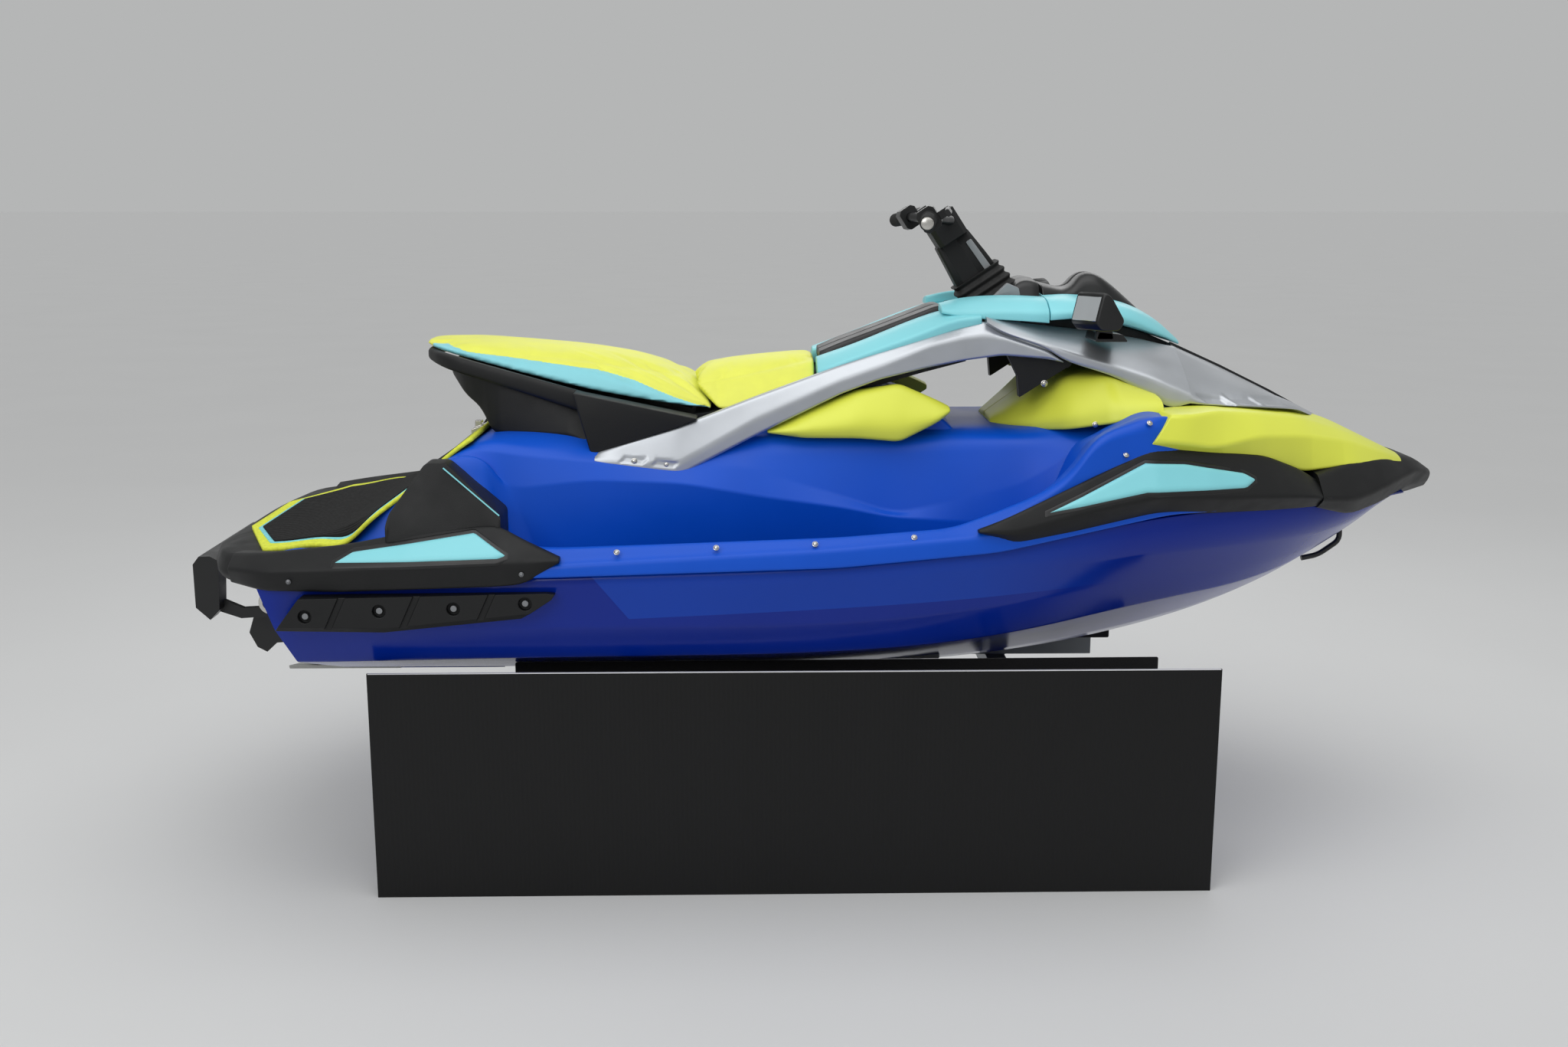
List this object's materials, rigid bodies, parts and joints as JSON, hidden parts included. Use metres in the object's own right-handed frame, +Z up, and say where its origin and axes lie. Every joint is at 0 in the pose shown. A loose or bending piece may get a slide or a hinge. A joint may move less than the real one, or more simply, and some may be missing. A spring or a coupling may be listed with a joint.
{
  "type": "personal watercraft",
  "caption": "Two-seat jet-driven personal watercraft with arched cowl, straddle seat and side bumpers, resting on a padded display stand.",
  "frame": {"origin": "on the floor under the middle of the craft", "axes": "+X to the bow, +Y to port, +Z up"},
  "size_m": [2.87, 1.136, 1.4849],
  "materials": {
    "arch_struts": "matte",
    "arches": "satin",
    "bar_ends": "gloss",
    "boarding_step": "matte",
    "bow_bumper": "matte",
    "bow_eye": "gloss",
    "bumper_inserts": "satin",
    "bunks": "matte",
    "control_levers": "satin",
    "dash": "matte",
    "deck": "satin",
    "deck_mat": "matte",
    "deck_mat_top": "matte",
    "engine": "matte",
    "fenders": "satin",
    "foot_chocks": "matte",
    "footwell_mats": "matte",
    "front_bumpers": "matte",
    "front_cowl": "satin",
    "glovebox_lid": "satin",
    "grab_handle": "matte",
    "grips": "matte",
    "handlebar": "satin",
    "hood_frame": "matte",
    "hood_sides": "satin",
    "hull": "gloss",
    "impeller": "satin",
    "intake_grate": "satin",
    "knee_pads": "satin",
    "lid_cap": "matte",
    "mirror_glasses": "gloss",
    "mirrors": "matte",
    "pump_housing": "satin",
    "rear_bumpers": "matte",
    "reverse_bucket": "satin",
    "ride_plate": "satin",
    "seat_front": "satin",
    "seat_rear": "satin",
    "seat_support": "matte",
    "shrouds": "satin",
    "skirt_board": "satin",
    "sponson_bolts": "satin",
    "sponsons": "matte",
    "stand_frame": "satin",
    "steering_column": "matte",
    "steering_nozzle": "satin",
    "steering_pedestal": "matte",
    "step_brackets": "satin",
    "stern_bumper": "matte",
    "stern_eyes": "gloss",
    "store_lid": "satin",
    "switch_housings": "matte",
    "tank_panels": "satin",
    "tow_hook": "gloss",
    "upper_frame": "matte"
  },
  "bodies": {
    "craft": {"arch_struts": "arch_struts", "arches": "arches", "bow_bumper": "bow_bumper", "bow_eye": "bow_eye", "bumper_inserts": "bumper_inserts", "bunks": "bunks", "dash": "dash", "deck": "deck", "deck_mat": "deck_mat", "deck_mat_top": "deck_mat_top", "engine": "engine", "fenders": "fenders", "foot_chocks": "foot_chocks", "footwell_mats": "footwell_mats", "front_bumpers": "front_bumpers", "front_cowl": "front_cowl", "grab_handle": "grab_handle", "hood_frame": "hood_frame", "hood_sides": "hood_sides", "hull": "hull", "intake_grate": "intake_grate", "knee_pads": "knee_pads", "mirror_glasses": "mirror_glasses", "mirrors": "mirrors", "pump_housing": "pump_housing", "rear_bumpers": "rear_bumpers", "ride_plate": "ride_plate", "seat_front": "seat_front", "seat_rear": "seat_rear", "seat_support": "seat_support", "shrouds": "shrouds", "skirt_board": "skirt_board", "sponson_bolts": "sponson_bolts", "sponsons": "sponsons", "stand_frame": "stand_frame", "steering_pedestal": "steering_pedestal", "step_brackets": "step_brackets", "stern_bumper": "stern_bumper", "stern_eyes": "stern_eyes", "tank_panels": "tank_panels", "tow_hook": "tow_hook", "upper_frame": "upper_frame"},
    "steering": {"steering_column": "steering_column", "handlebar": "handlebar", "grips": "grips", "bar_ends": "bar_ends", "switch_housings": "switch_housings", "control_levers": "control_levers"},
    "nozzle": {"steering_nozzle": "steering_nozzle"},
    "bucket": {"reverse_bucket": "reverse_bucket"},
    "propulsor": {"impeller": "impeller"},
    "step": {"boarding_step": "boarding_step"},
    "bow_lid": {"store_lid": "store_lid", "lid_cap": "lid_cap"},
    "glove_lid": {"glovebox_lid": "glovebox_lid"}
  },
  "joints": [
    {"name": "steering_turn", "type": "hinge", "parent": "craft", "child": "steering", "pos_m": [0.345, 0, 1.3], "axis": [-0.5501, 0, 0.8351], "range_deg": [-22, 22]},
    {"name": "nozzle_turn", "type": "hinge", "parent": "craft", "child": "nozzle", "pos_m": [-1.222, 0, 0.5], "axis": [0, 0, 1], "range_deg": [-20, 20]},
    {"name": "bucket_tilt", "type": "hinge", "parent": "craft", "child": "bucket", "pos_m": [-1.222, 0, 0.5], "axis": [0, 1, 0], "range_deg": [-20, 40]},
    {"name": "impeller_spin", "type": "hinge", "parent": "craft", "child": "propulsor", "pos_m": [-1, 0, 0.5], "axis": [1, 0, 0], "continuous": true},
    {"name": "step_fold", "type": "hinge", "parent": "craft", "child": "step", "pos_m": [-1.222, 0, 0.575], "axis": [0, -1, 0], "range_deg": [0, 100]},
    {"name": "bow_lid_hinge", "type": "hinge", "parent": "craft", "child": "bow_lid", "pos_m": [0.807, 0, 1.1655], "axis": [0, 1, 0], "range_deg": [0, 45]},
    {"name": "glovebox_hinge", "type": "hinge", "parent": "craft", "child": "glove_lid", "pos_m": [0.262, 0, 1.247], "axis": [0, 1, 0], "range_deg": [0, 70]}
  ],
  "couplings": [
    {"joint": "nozzle_turn", "follows": "steering_turn", "ratio": -0.9}
  ]
}
